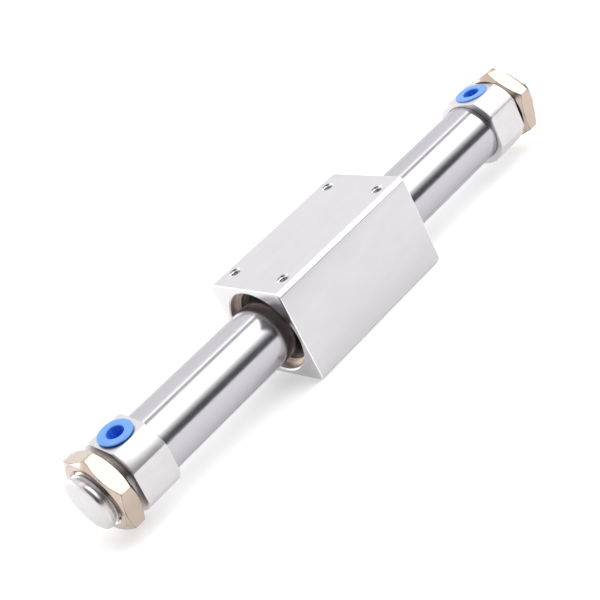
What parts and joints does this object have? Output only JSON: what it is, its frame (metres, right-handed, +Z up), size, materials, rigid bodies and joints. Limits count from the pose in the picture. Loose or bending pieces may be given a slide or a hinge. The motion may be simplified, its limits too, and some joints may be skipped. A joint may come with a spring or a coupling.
{
  "type": "rodless pneumatic cylinder",
  "caption": "Magnetically coupled rodless air cylinder: a closed round tube between two ported, threaded head covers, with a square slider block that follows the piston inside.",
  "frame": {"origin": "middle of the tube's axis, half way between the ends of the two mounting bosses", "axes": "+X along the tube towards the right-hand head cover, +Z up through the slider block's tapped face, +Y across"},
  "size_m": [0.232, 0.036, 0.036],
  "materials": {
    "block_aluminium": "clear anodised, satin",
    "head_aluminium": "machined and clear anodised",
    "tube_steel": "ground and polished stainless steel",
    "nut_nickel": "nickel plated",
    "plug_blue": "moulded polyethylene",
    "ring_steel": "phosphated spring steel",
    "plate_black": "moulded, satin",
    "wear_resin": "bearing resin",
    "rubber": "nitrile rubber",
    "magnet": "nickel plated rare earth magnet",
    "yoke_steel": "zinc plated rolled steel",
    "shaft_steel": "turned stainless steel",
    "piston_aluminium": "machined",
    "bumper_urethane": "urethane"
  },
  "bodies": {
    "barrel": {"cylinder_tube": "tube_steel", "left_head_cover": "head_aluminium", "left_tube_gasket": "rubber", "right_head_cover": "head_aluminium", "right_tube_gasket": "rubber"},
    "piston": {"piston_shaft": "shaft_steel", "left_piston": "piston_aluminium", "left_piston_wear_ring": "wear_resin", "left_piston_seal": "rubber", "left_bumper": "bumper_urethane", "left_piston_nut": "shaft_steel", "right_piston": "piston_aluminium", "right_piston_wear_ring": "wear_resin", "right_piston_seal": "rubber", "right_bumper": "bumper_urethane", "right_piston_nut": "shaft_steel", "inner_magnet_1": "magnet", "inner_magnet_2": "magnet", "inner_magnet_3": "magnet", "inner_magnet_4": "magnet", "inner_yoke_1": "yoke_steel", "inner_yoke_2": "yoke_steel", "inner_yoke_3": "yoke_steel", "inner_yoke_4": "yoke_steel", "inner_yoke_5": "yoke_steel"},
    "slider": {"slider_block": "block_aluminium", "left_retaining_ring": "ring_steel", "left_end_plate": "plate_black", "left_slider_wear_ring": "wear_resin", "left_scraper": "rubber", "right_retaining_ring": "ring_steel", "right_end_plate": "plate_black", "right_slider_wear_ring": "wear_resin", "right_scraper": "rubber", "outer_magnet_1": "magnet", "outer_magnet_2": "magnet", "outer_magnet_3": "magnet", "outer_magnet_4": "magnet", "outer_yoke_1": "yoke_steel", "outer_yoke_2": "yoke_steel", "outer_yoke_3": "yoke_steel", "outer_yoke_4": "yoke_steel", "outer_yoke_5": "yoke_steel"},
    "left_nut": {"left_mounting_nut": "nut_nickel"},
    "right_nut": {"right_mounting_nut": "nut_nickel"},
    "left_plug": {"left_port_plug": "plug_blue"},
    "right_plug": {"right_port_plug": "plug_blue"}
  },
  "joints": [
    {"name": "piston_slide", "type": "slide", "parent": "barrel", "child": "piston", "axis": [1, 0, 0], "range_m": [-0.052, 0.048]},
    {"name": "slider_turn", "type": "hinge", "parent": "piston", "child": "slider", "pos_m": [0.002, 0, 0], "axis": [1, 0, 0], "continuous": true},
    {"name": "left_nut_travel", "type": "slide", "parent": "barrel", "child": "left_nut", "axis": [-1, 0, 0], "range_m": [-0.00195, 0.011]},
    {"name": "right_nut_travel", "type": "slide", "parent": "barrel", "child": "right_nut", "axis": [1, 0, 0], "range_m": [-0.00075, 0.0122]},
    {"name": "left_plug_pull", "type": "slide", "parent": "barrel", "child": "left_plug", "axis": [0, -0.1305, 0.9914], "range_m": [0, 0.012]},
    {"name": "right_plug_pull", "type": "slide", "parent": "barrel", "child": "right_plug", "axis": [0, 0, 1], "range_m": [0, 0.012]}
  ]
}
